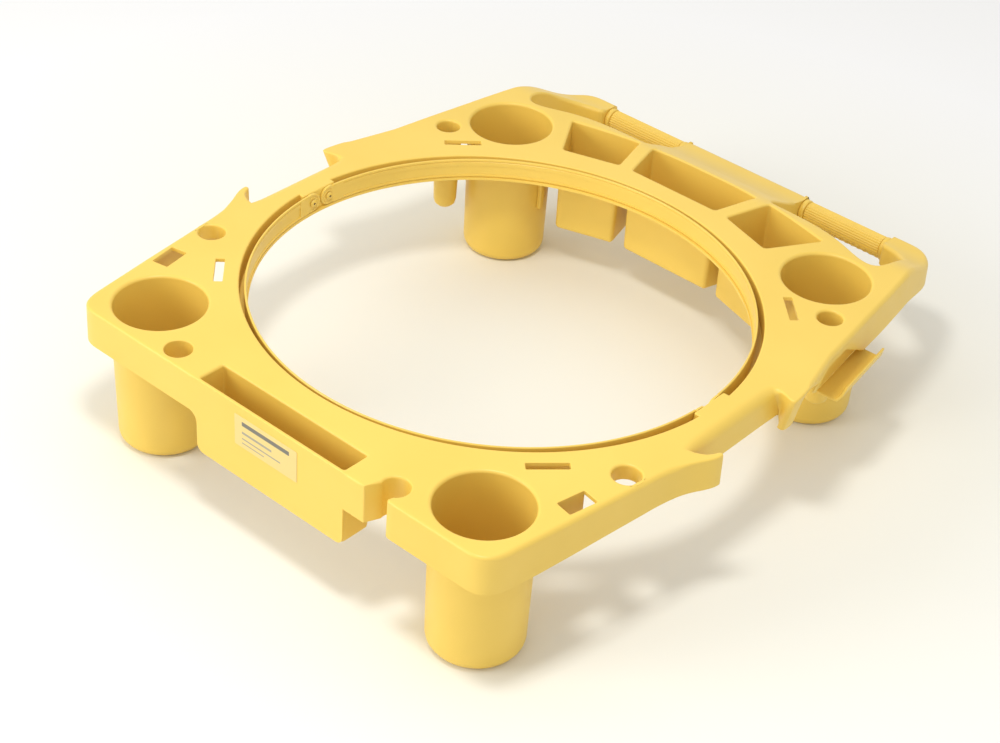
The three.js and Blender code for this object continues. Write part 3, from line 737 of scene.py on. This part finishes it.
def along_x(name, stations, steps):
    """A closed body along X from (x, extra) stations, where extra may vary round the bar."""
    turn = np.linspace(0, 2 * math.pi, steps, endpoint=False)
    points = []
    for x, extra in stations:
        points.extend((x, y, z) for y, z in bar_section(turn, extra))
    faces = tube_faces(len(stations), steps)
    for base, flip in ((0, True), ((len(stations) - 1) * steps, False)):
        ring = np.array(points[base:base + steps])
        points.append(tuple(ring.mean(0)))
        fan = [(base + i, base + (i + 1) % steps, len(points) - 1) for i in range(steps)]
        faces.extend(face[::-1] if flip else face for face in fan)
    return solid_from(name, points, [face[::-1] for face in faces])


def solid_from(name, points, faces, sharp_degrees=SHARP_DEGREES):
    """One closed piece from points in millimetres, with its faces turned outward."""
    mesh = bpy.data.meshes.new(name)
    mesh.from_pydata([(x * MM, (y + CENTRE_Y) * MM, z * MM) for x, y, z in points], [], faces)
    made = link(name, mesh)
    work = bmesh.new()
    work.from_mesh(mesh)
    bmesh.ops.recalc_face_normals(work, faces=work.faces)
    work.to_mesh(mesh)
    work.free()
    smooth_by_angle(made, sharp_degrees)
    return made


def mirror_copy(piece, name):
    """The same piece on the other side of the caddy, with its faces still pointing out."""
    copy = piece.data.copy()
    copy.transform(Matrix.Diagonal((-1, 1, 1, 1)))
    copy.flip_normals()
    return link(name, copy)


FLUTES, FLUTE_DEPTH = 26, 0.75
SCALLOP_PITCH, SCALLOP_DEPTH, SCALLOP_TURN = 8.6, 3.0, 228


def make_grips():
    """The two fluted grips, with finger scallops low on the front."""
    steps = FLUTES * 6
    turn = np.linspace(0, 2 * math.pi, steps, endpoint=False)
    flute = -FLUTE_DEPTH * (0.5 - 0.5 * np.cos(FLUTES * turn)) ** 0.7
    under = np.exp(-((np.degrees(turn) - SCALLOP_TURN) / 17) ** 2)
    start, end = GRIP_INNER + COLLAR_WIDE + 0.2, GRIP_OUTER - COLLAR_WIDE - 0.2
    stations = [(start, flute - 1.2)]
    for x in np.linspace(start + 0.8, end - 0.8, 110):
        wave = (0.5 - 0.5 * math.cos(2 * math.pi * (x - start) / SCALLOP_PITCH)) ** 0.8
        stations.append((x, flute - SCALLOP_DEPTH * wave * under))
    stations.append((end, flute - 1.2))
    right = along_x("grip_right_bar", stations, steps)
    return [right, mirror_copy(right, "grip_left_bar")]


def make_collars():
    """A rounded bead at each end of each grip, as (piece, CAD node) pairs."""
    half = [(0.2, -0.4), (0.5, 0.3), (1.1, 0.8), (2.4, 1.0)]
    profile = half + [(4.6, 1.0), (5.9, 0.8), (6.5, 0.3), (6.8, -0.4)]
    pieces = []
    for word, x0 in (("inner", GRIP_INNER), ("outer", GRIP_OUTER - COLLAR_WIDE)):
        name = f"collar_{word}"
        right = along_x(f"{name}_right_bead", [(x0 + x, extra) for x, extra in profile], 72)
        pieces.append((right, f"{name}_right"))
        pieces.append((mirror_copy(right, f"{name}_left_bead"), f"{name}_left"))
    return pieces


# ---------- the side hook ----------
HOOK_TURN, HOOK_LENGTH, HOOK_REACH = math.radians(8.1), 103.6, 28.0
HOOK_DEPTH = 15.5     # of the shelf below the top of the lip


def make_hook():
    """A shelf with an upturned lip, which flares a little at its front end."""
    out = Vector((math.cos(HOOK_TURN), math.sin(HOOK_TURN)))
    along = Vector((-out.y, out.x))
    shelf_z = node_high("side_hook")[2] - HOOK_DEPTH
    root = Vector((315.3, 212)) - out * (BAY_DEPTH - 0.3)
    reach = HOOK_REACH
    section = [
        (-2.5, 0), (reach - 6.5, -1.8), (reach - 2.2, 4.5), (reach, 15), (reach - 2.4, 15.4),
        (reach - 5.0, 5.6), (reach - 8.4, 1.6), (3, 3), (-2.5, 3.2),
    ]
    flare = {2: 0.4, 3: 1.0, 4: 1.0, 5: 0.4}     # by place in the section
    stations = [-1, -0.8, -0.5, 0, 0.5, 0.8, 1]
    points = []
    for v in stations:
        pull = 9 * max(0, -v) ** 6 - 2.5 * max(0, v) ** 6
        for k, (u, h) in enumerate(section):
            spot = root + out * u + along * (v * HOOK_LENGTH / 2 + flare.get(k, 0) * pull)
            points.append((spot.x, spot.y, shelf_z + h))
    front, rear = end_faces(len(stations), len(section))
    faces = tube_faces(len(stations), len(section)) + [front, rear[::-1]]
    hook = solid_from("side_hook_shelf", points, faces)
    bevel = hook.modifiers.new("edges", "BEVEL")
    bevel.width = 0.8 * MM
    bevel.segments = 3
    bevel.limit_method = "ANGLE"
    bevel.angle_limit = math.radians(30)
    bake_modifiers(hook)
    smooth_by_angle(hook, 40)
    return hook


# ---------- ribs on the rear cups, and walls below the windows ----------
def make_rib(node):
    low, high = node_low(node), node_high(node)
    x0, x1, y0, y1 = low[0], high[0], low[1] - CENTRE_Y, high[1] - CENTRE_Y
    return make_upright(node, rounded([[x0, y0], [x1, y0], [x1, y1], [x0, y1]], 1.2, 4))


def make_flap(word):
    """The wall below a front window, along the window's inner side."""
    turn = math.radians(WINDOW_TURN)
    reach = (WINDOW_WIDTH + WALL) / 2
    x, y = WINDOW[0] - reach * math.cos(turn), WINDOW[1] - reach * math.sin(turn)
    outline = turned_rectangle(WALL - 0.4, FLAP_LENGTH, x, y, WINDOW_TURN, 1.1)
    if word == "left":
        outline = mirrored(outline)
    return make_upright(f"window_flap_{word}", outline)


def make_upright(node, outline):
    """A straight wall or strip with a rounded foot, as tall as its CAD node."""
    ease = 0.8
    low_z, high_z = node_low(node)[2], node_high(node)[2]
    profile = refined(outline, 3)
    skin = Skin()
    foot = skin.row(grown(profile, -ease), low_z)
    rows = [foot, skin.row(profile, low_z + ease), skin.row(profile, high_z)]
    for a, b in zip(rows, rows[1:]):
        skin.bridge(b, a)
    return solid_from(f"{node}_strip", skin.points, skin.faces + [tuple(foot), tuple(rows[-1])])


# ---------- bag rings and rivets ----------
def ring_profile():
    """Section of a bag ring as (outward, height) pairs: a band with a lip along each edge,
    and on its inner face a groove below the upper lip and a small step."""
    low, high, thick = RING_LOW_Z, RING_HIGH_Z, RING_THICK
    lip, groove, step, sunk = high - 2.2, high - 3.6, high - 9.0, 1.0
    return [
        (thick, low + 0.8), (thick, high - 0.8), (thick - 0.5, high - 0.1), (thick / 2, high),
        (0.4, high - 0.2), (0, high - 0.9), (0, lip), (sunk, lip - 0.4), (sunk, groove),
        (0.3, groove - 0.6), (0.3, step), (sunk, step - 0.4), (sunk, low + 2.8), (0, low + 2.4),
        (0, low + 0.9), (0.4, low + 0.2), (thick / 2, low), (thick - 0.5, low + 0.1),
    ]


def make_ring(name, front):
    """Half a hoop, with a flat knuckle at each end for its pivot."""
    section = ring_profile()
    start = math.asin((PIVOT_Y + 7) / RING_B)
    turns = np.linspace(start, math.pi - start, 150)
    points = []
    for turn in turns:
        across, along = math.cos(turn), math.sin(turn)
        points.extend(((RING_A + out) * across, (RING_B + out) * along, z) for out, z in section)
    faces = tube_faces(len(turns), len(section)) + end_faces(len(turns), len(section))
    for side in (1, -1):
        add_knuckle(points, faces, side)
    if front:
        points = [(x, -y, z) for x, y, z in points]
    return solid_from(name, points, faces, 32)


def add_knuckle(points, faces, side):
    """The flat end of a bag ring, with a raised ring round its pivot, and a strap behind it."""
    steps, hole, outer = 48, 3.3, KNUCKLE_R - 0.5
    turn = np.linspace(0, 2 * math.pi, steps, endpoint=False)
    base = len(points)
    rings = [
        (KNUCKLE_R, RING_THICK), (KNUCKLE_R, 0.5), (outer, 0.0), (9.2, 0.0), (8.6, 0.7),
        (7.6, 0.7), (7.0, 0.0), (hole, 0.0), (hole, RING_THICK),
    ]
    for r, depth in rings:
        square = min(r * 1.02, 12)
        for t in turn:
            y, z = r * math.cos(t), r * math.sin(t)
            if r >= outer and y > 0:     # the side towards the band is squared off
                y *= 0.9
                z = max(-square, min(square, z * (1 + 0.03 * abs(y))))
            points.append((side * (RING_A + depth), PIVOT_Y + y, PIVOT_Z + z))
    faces.extend(tube_faces(len(rings), steps, base, closed=True))
    strap = len(points)
    low, high, inner, back = RING_LOW_Z + 1, RING_HIGH_Z - 1, 0.05, RING_THICK - 0.1
    far = PIVOT_Y + 22
    for y, x in ((PIVOT_Y + 4, RING_A), (far, RING_A * math.sqrt(1 - (far / RING_B) ** 2))):
        for out, z in ((inner, low), (back, low), (back, high), (inner, high)):
            points.append((side * (x + out), y, z))
    faces.extend(tube_faces(2, 4, strap))
    faces.extend(tuple(range(start, start + 4)) for start in (strap, strap + 4))


def make_rivet(side, end):
    """A round-headed rivet along X with a sunk centre, which later gets painted shade."""
    node = f"rivet_{'right' if side > 0 else 'left'}_{'rear' if end > 0 else 'front'}"
    face, least = RING_A - 1 - 1.8, 0.01
    tip = node_high(node)[0] if side > 0 else -node_low(node)[0]
    shank = 3.0
    profile = [
        (least, 1.1), (1.1, 1.1), (1.35, 0.2), (1.7, 0.0), (2.9, 0.15), (4.1, 0.7), (4.7, 1.4),
        (4.8, 1.8), (shank, 1.85), (shank, tip - face), (least, tip - face),
    ]
    steps = 40
    turn = np.linspace(0, 2 * math.pi, steps, endpoint=False)
    points = []
    for r, depth in profile:
        for t in turn:
            y, z = end * PIVOT_Y + r * math.cos(t), PIVOT_Z + r * math.sin(t)
            points.append((side * (face + depth), y, z))
    faces = tube_faces(len(profile), steps) + end_faces(len(profile), steps)
    return solid_from(f"{node}_head", points, faces, 50), node


def make_sticker():
    low, high = node_low("tray_label"), node_high("tray_label")
    corners = [[low[0], low[2]], [high[0], low[2]], [high[0], high[2]], [low[0], high[2]]]
    outline = rounded(corners, 1.5, 5)
    front, back = low[1] - CENTRE_Y, high[1] - CENTRE_Y
    points = []
    for y, inset in ((back, 0), (front + 0.12, 0), (front, 0.15)):
        points.extend((x, y, z) for x, z in grown(outline, -inset))
    faces = tube_faces(3, len(outline)) + end_faces(3, len(outline))
    return solid_from("tray_sticker", points, faces)


# ---------- materials ----------
class Nodes:
    """A small helper that adds shader nodes to a material or world and joins them by name."""

    def __init__(self, owner, shader="Principled BSDF"):
        owner.use_nodes = True
        self.owner = owner
        self.tree = owner.node_tree
        self.shader = self.tree.nodes[shader]
        self.place = self.add("ShaderNodeTexCoord")

    def add(self, kind, **settings):
        node = self.tree.nodes.new(kind)
        for key, value in settings.items():
            if hasattr(node, key):
                setattr(node, key, value)
            else:
                node.inputs[key.replace("_", " ").title()].default_value = value
        return node

    def join(self, source, output, target, socket):
        self.tree.links.new(source.outputs[output], target.inputs[socket])

    def noise(self, scale, detail, roughness):
        noise = self.add("ShaderNodeTexNoise", scale=scale, detail=detail, roughness=roughness)
        self.join(self.place, "Object", noise, "Vector")
        return noise

    def bump(self, height, strength, distance):
        bump = self.add("ShaderNodeBump", strength=strength, distance=distance)
        self.join(height, "Fac", bump, "Height")
        return bump

    def ramp(self, source, output, low, high, at=(0.35, 0.65)):
        ramp = self.add("ShaderNodeValToRGB")
        for element, position, colour in zip(ramp.color_ramp.elements, at, (low, high)):
            element.position = position
            element.color = (*colour, 1)
        self.join(source, output, ramp, "Fac")
        return ramp


def plastic(name, deep, light, roughness, grain):
    """Moulded satin plastic: faint cloudy colour, uneven gloss and a fine pebbled surface."""
    make = Nodes(bpy.data.materials.new(name))
    tint = make.ramp(make.noise(7.0, 3.0, 0.5), "Fac", deep, light)
    make.join(tint, "Color", make.shader, "Base Color")
    gloss = make.add("ShaderNodeMapRange", to_min=roughness - 0.05, to_max=roughness + 0.06)
    make.join(make.noise(38.0, 2.0, 0.6), "Fac", gloss, "Value")
    make.join(gloss, "Result", make.shader, "Roughness")
    pebble = make.bump(make.noise(grain, 4.0, 0.6), 0.12, 0.00012)
    swell = make.bump(make.noise(24.0, 1.0, 0.5), 0.25, 0.0004)
    make.join(pebble, "Normal", swell, "Normal")
    make.join(swell, "Normal", make.shader, "Normal")
    make.shader.inputs["IOR"].default_value = 1.49
    return make.owner


PAPER, DARK_INK, GREY_INK = (0.80, 0.60, 0.22), (0.17, 0.16, 0.13), (0.36, 0.33, 0.25)
# Each printed bar as its left, right, bottom and top, in shares of the sticker, and its ink.
BARS = [
    (0.12, 0.88, 0.72, 0.86, DARK_INK),
    (0.12, 0.60, 0.46, 0.54, GREY_INK),
    (0.12, 0.74, 0.28, 0.33, GREY_INK),
    (0.12, 0.48, 0.14, 0.18, GREY_INK),
]


def sticker_material():
    """A cream printed sticker with plain grey bars."""
    make = Nodes(bpy.data.materials.new("sticker_print"))
    low, high = (np.array(v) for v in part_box("tray_label"))
    split = make.add("ShaderNodeSeparateXYZ")
    make.join(make.place, "Object", split, "Vector")
    last, output = make.add("ShaderNodeRGB"), 0
    last.outputs[0].default_value = (*PAPER, 1)
    wide, tall = high[0] - low[0], high[2] - low[2]
    for left, right, bottom, top, ink in BARS:
        mask_x = band(make, split, "X", low[0] + wide * left, low[0] + wide * right)
        mask_z = band(make, split, "Z", low[2] + tall * bottom, low[2] + tall * top)
        both = make.add("ShaderNodeMath", operation="MULTIPLY")
        make.join(mask_x, 0, both, 0)
        make.join(mask_z, 0, both, 1)
        mix = make.add("ShaderNodeMix", data_type="RGBA")
        make.join(both, 0, mix, 0)
        make.join(last, output, mix, 6)
        mix.inputs[7].default_value = (*ink, 1)
        last, output = mix, 2
    make.join(last, output, make.shader, "Base Color")
    fleck = make.bump(make.noise(900.0, 2.0, 0.5), 0.08, 0.00005)
    make.join(fleck, "Normal", make.shader, "Normal")
    make.shader.inputs["Roughness"].default_value = 0.42
    return make.owner


def band(make, split, axis, start, end):
    """1 between two places along an axis, with a soft edge a fifth of a millimetre wide."""
    soft = 0.0002
    middle, half = (start + end) / 2, (end - start) / 2
    away = make.add("ShaderNodeMath", operation="SUBTRACT")
    make.join(split, axis, away, 0)
    away.inputs[1].default_value = middle
    size = make.add("ShaderNodeMath", operation="ABSOLUTE")
    make.join(away, 0, size, 0)
    edge = make.add("ShaderNodeMapRange", from_min=half, from_max=half - soft)
    make.join(size, 0, edge, "Value")
    return edge


body_plastic = plastic(
    "satin_yellow_plastic", (0.82, 0.565, 0.095), (0.86, 0.595, 0.108), 0.40, 900.0)
ring_plastic = plastic(
    "ring_yellow_plastic", (0.81, 0.557, 0.093), (0.85, 0.587, 0.106), 0.34, 1200.0)
rivet_plastic = plastic(
    "rivet_yellow_plastic", (0.79, 0.545, 0.092), (0.83, 0.575, 0.104), 0.34, 1200.0)
# painted shade: dark brown for the rivets' sunk centres, standing in for the shade inside their
# holes
hole_shade_paint = plastic("painted_hole_shade", (0.10, 0.06, 0.02), (0.14, 0.08, 0.03), 0.5, 1200.0)


# ---------- putting the pieces together ----------
def dress(piece, material, body, slot, *nodes):
    piece.data.materials.clear()
    piece.data.materials.append(material)
    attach(piece, body)
    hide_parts(*nodes)


def dress_moulded(piece, *nodes):
    dress(piece, body_plastic, "root", "body_plastic", *nodes)


def paint_hole_shade(rivet, end):
    """Paints shade into a rivet's head: the faces of its sunk centre get a dark brown material
    standing in for the shade in the hole.
    """
    rivet.data.materials.append(hole_shade_paint)
    for face in rivet.data.polygons:
        x, y, z = (v / MM for v in face.center)
        near = math.hypot(y - CENTRE_Y - end * PIVOT_Y, z - PIVOT_Z) < 1.3
        if near and abs(x) < RING_A:
            face.material_index = 1


OWN_PIECES = (
    "grip", "collar", "side_hook", "cup_rib", "window_flap", "bag_ring", "rivet", "tray_label",
)
moulded_nodes = [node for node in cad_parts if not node.startswith(OWN_PIECES)]
dress_moulded(make_moulding(), *moulded_nodes)
for grip, word in zip(make_grips(), ("right", "left")):
    dress_moulded(grip, f"grip_{word}")
for collar, node in make_collars():
    dress_moulded(collar, node)
dress_moulded(make_hook(), "side_hook")
for word in ("right", "left"):
    dress_moulded(make_rib(f"cup_rib_{word}"), f"cup_rib_{word}")
    dress_moulded(make_flap(word), f"window_flap_{word}")
for word in ("rear", "front"):
    ring = make_ring(f"bag_ring_{word}_band", word == "front")
    dress(ring, ring_plastic, f"{word}_ring", "ring_plastic", f"bag_ring_{word}")
for side, end in ((1, 1), (1, -1), (-1, 1), (-1, -1)):
    rivet, node = make_rivet(side, end)
    dress(rivet, rivet_plastic, "root", "rivet_plastic", node)
    # painted shade in each rivet's sunk centre
    paint_hole_shade(rivet, end)
dress(make_sticker(), sticker_material(), "root", "sticker", "tray_label")


# ---------- floor, lights and camera ----------
def make_floor():
    half = 9.0
    corners = [(-half, -half, 0), (half, -half, 0), (half, half, 0), (-half, half, 0)]
    mesh = bpy.data.meshes.new("floor")
    mesh.from_pydata(corners, [], [(0, 1, 2, 3)])
    floor = link("floor", mesh)
    make = Nodes(bpy.data.materials.new("floor_with_painted_falloff"))
    away = make.add("ShaderNodeVectorMath", operation="LENGTH")
    make.join(make.place, "Object", away, 0)
    # painted light and shade: the floor is a darker, warmer cream near the middle, where the
    # caddy's shadows lie, and lighter and whiter further out, where the key light falls off
    tint = make.ramp(away, "Value", (0.885, 0.875, 0.79), (0.94, 0.94, 0.925), (0.5, 1.0))
    make.join(tint, "Color", make.shader, "Base Color")
    make.shader.inputs["Roughness"].default_value = 0.9
    make.shader.inputs["Specular IOR Level"].default_value = 0.1
    mesh.materials.append(make.owner)


def add_softbox(name, place, size, watts):
    light = bpy.data.lights.new(name, "AREA")
    light.shape = "DISK"
    light.size = size
    light.energy = watts
    lamp = link(name, light)
    lamp.location = place
    aim = Vector((0, CENTRE_Y * MM, 0.1)) - lamp.location
    lamp.rotation_euler = aim.to_track_quat("-Z", "Y").to_euler()


def light_scene():
    """A small key light overhead, a large soft fill in front, and a sky brighter to the left."""
    add_softbox("key_light", (0.20, -0.60, 1.60), 0.30, 9.6)
    add_softbox("front_fill", (-1.5, -2.6, 1.3), 1.6, 32)
    make = Nodes(bpy.data.worlds.new("studio"), "Background")
    bpy.context.scene.world = make.owner
    make.shader.inputs["Color"].default_value = (1.0, 0.99, 0.985, 1)
    split = make.add("ShaderNodeSeparateXYZ")
    make.join(make.place, "Generated", split, "Vector")
    strength = make.add("ShaderNodeMapRange", from_min=-1, to_min=0.95, to_max=0.68)
    make.join(split, "X", strength, "Value")
    make.join(strength, "Result", make.shader, "Strength")
    bpy.context.scene.view_settings.view_transform = "Standard"


AZIMUTH, ELEVATION, ROLL = (math.radians(v) for v in (39.166, 36.058, 4.281))
FOCAL_SHARE = 2.0787     # focal length over sensor width
SENSOR_WIDTH = 36
DISTANCE = 2.1225
AIM = (0.09961, (CENTRE_Y - 114.55) * MM, DECK_Z * MM)


def make_camera():
    level_share = math.cos(ELEVATION)
    east, north = math.sin(AZIMUTH) * level_share, -math.cos(AZIMUTH) * level_share
    back = Vector((east, north, math.sin(ELEVATION)))
    level = (-back).cross(Vector((0, 0, 1))).normalized()
    upward = level.cross(-back)
    right = level * math.cos(ROLL) + upward * math.sin(ROLL)
    up = upward * math.cos(ROLL) - level * math.sin(ROLL)
    camera = link("camera", bpy.data.cameras.new("camera"))
    camera.data.sensor_width = SENSOR_WIDTH
    camera.data.lens = SENSOR_WIDTH * FOCAL_SHARE
    turn = Matrix((right, up, back)).transposed().to_4x4()
    camera.matrix_world = Matrix.Translation(Vector(AIM) + back * DISTANCE) @ turn
    bpy.context.scene.camera = camera


make_floor()
light_scene()
make_camera()
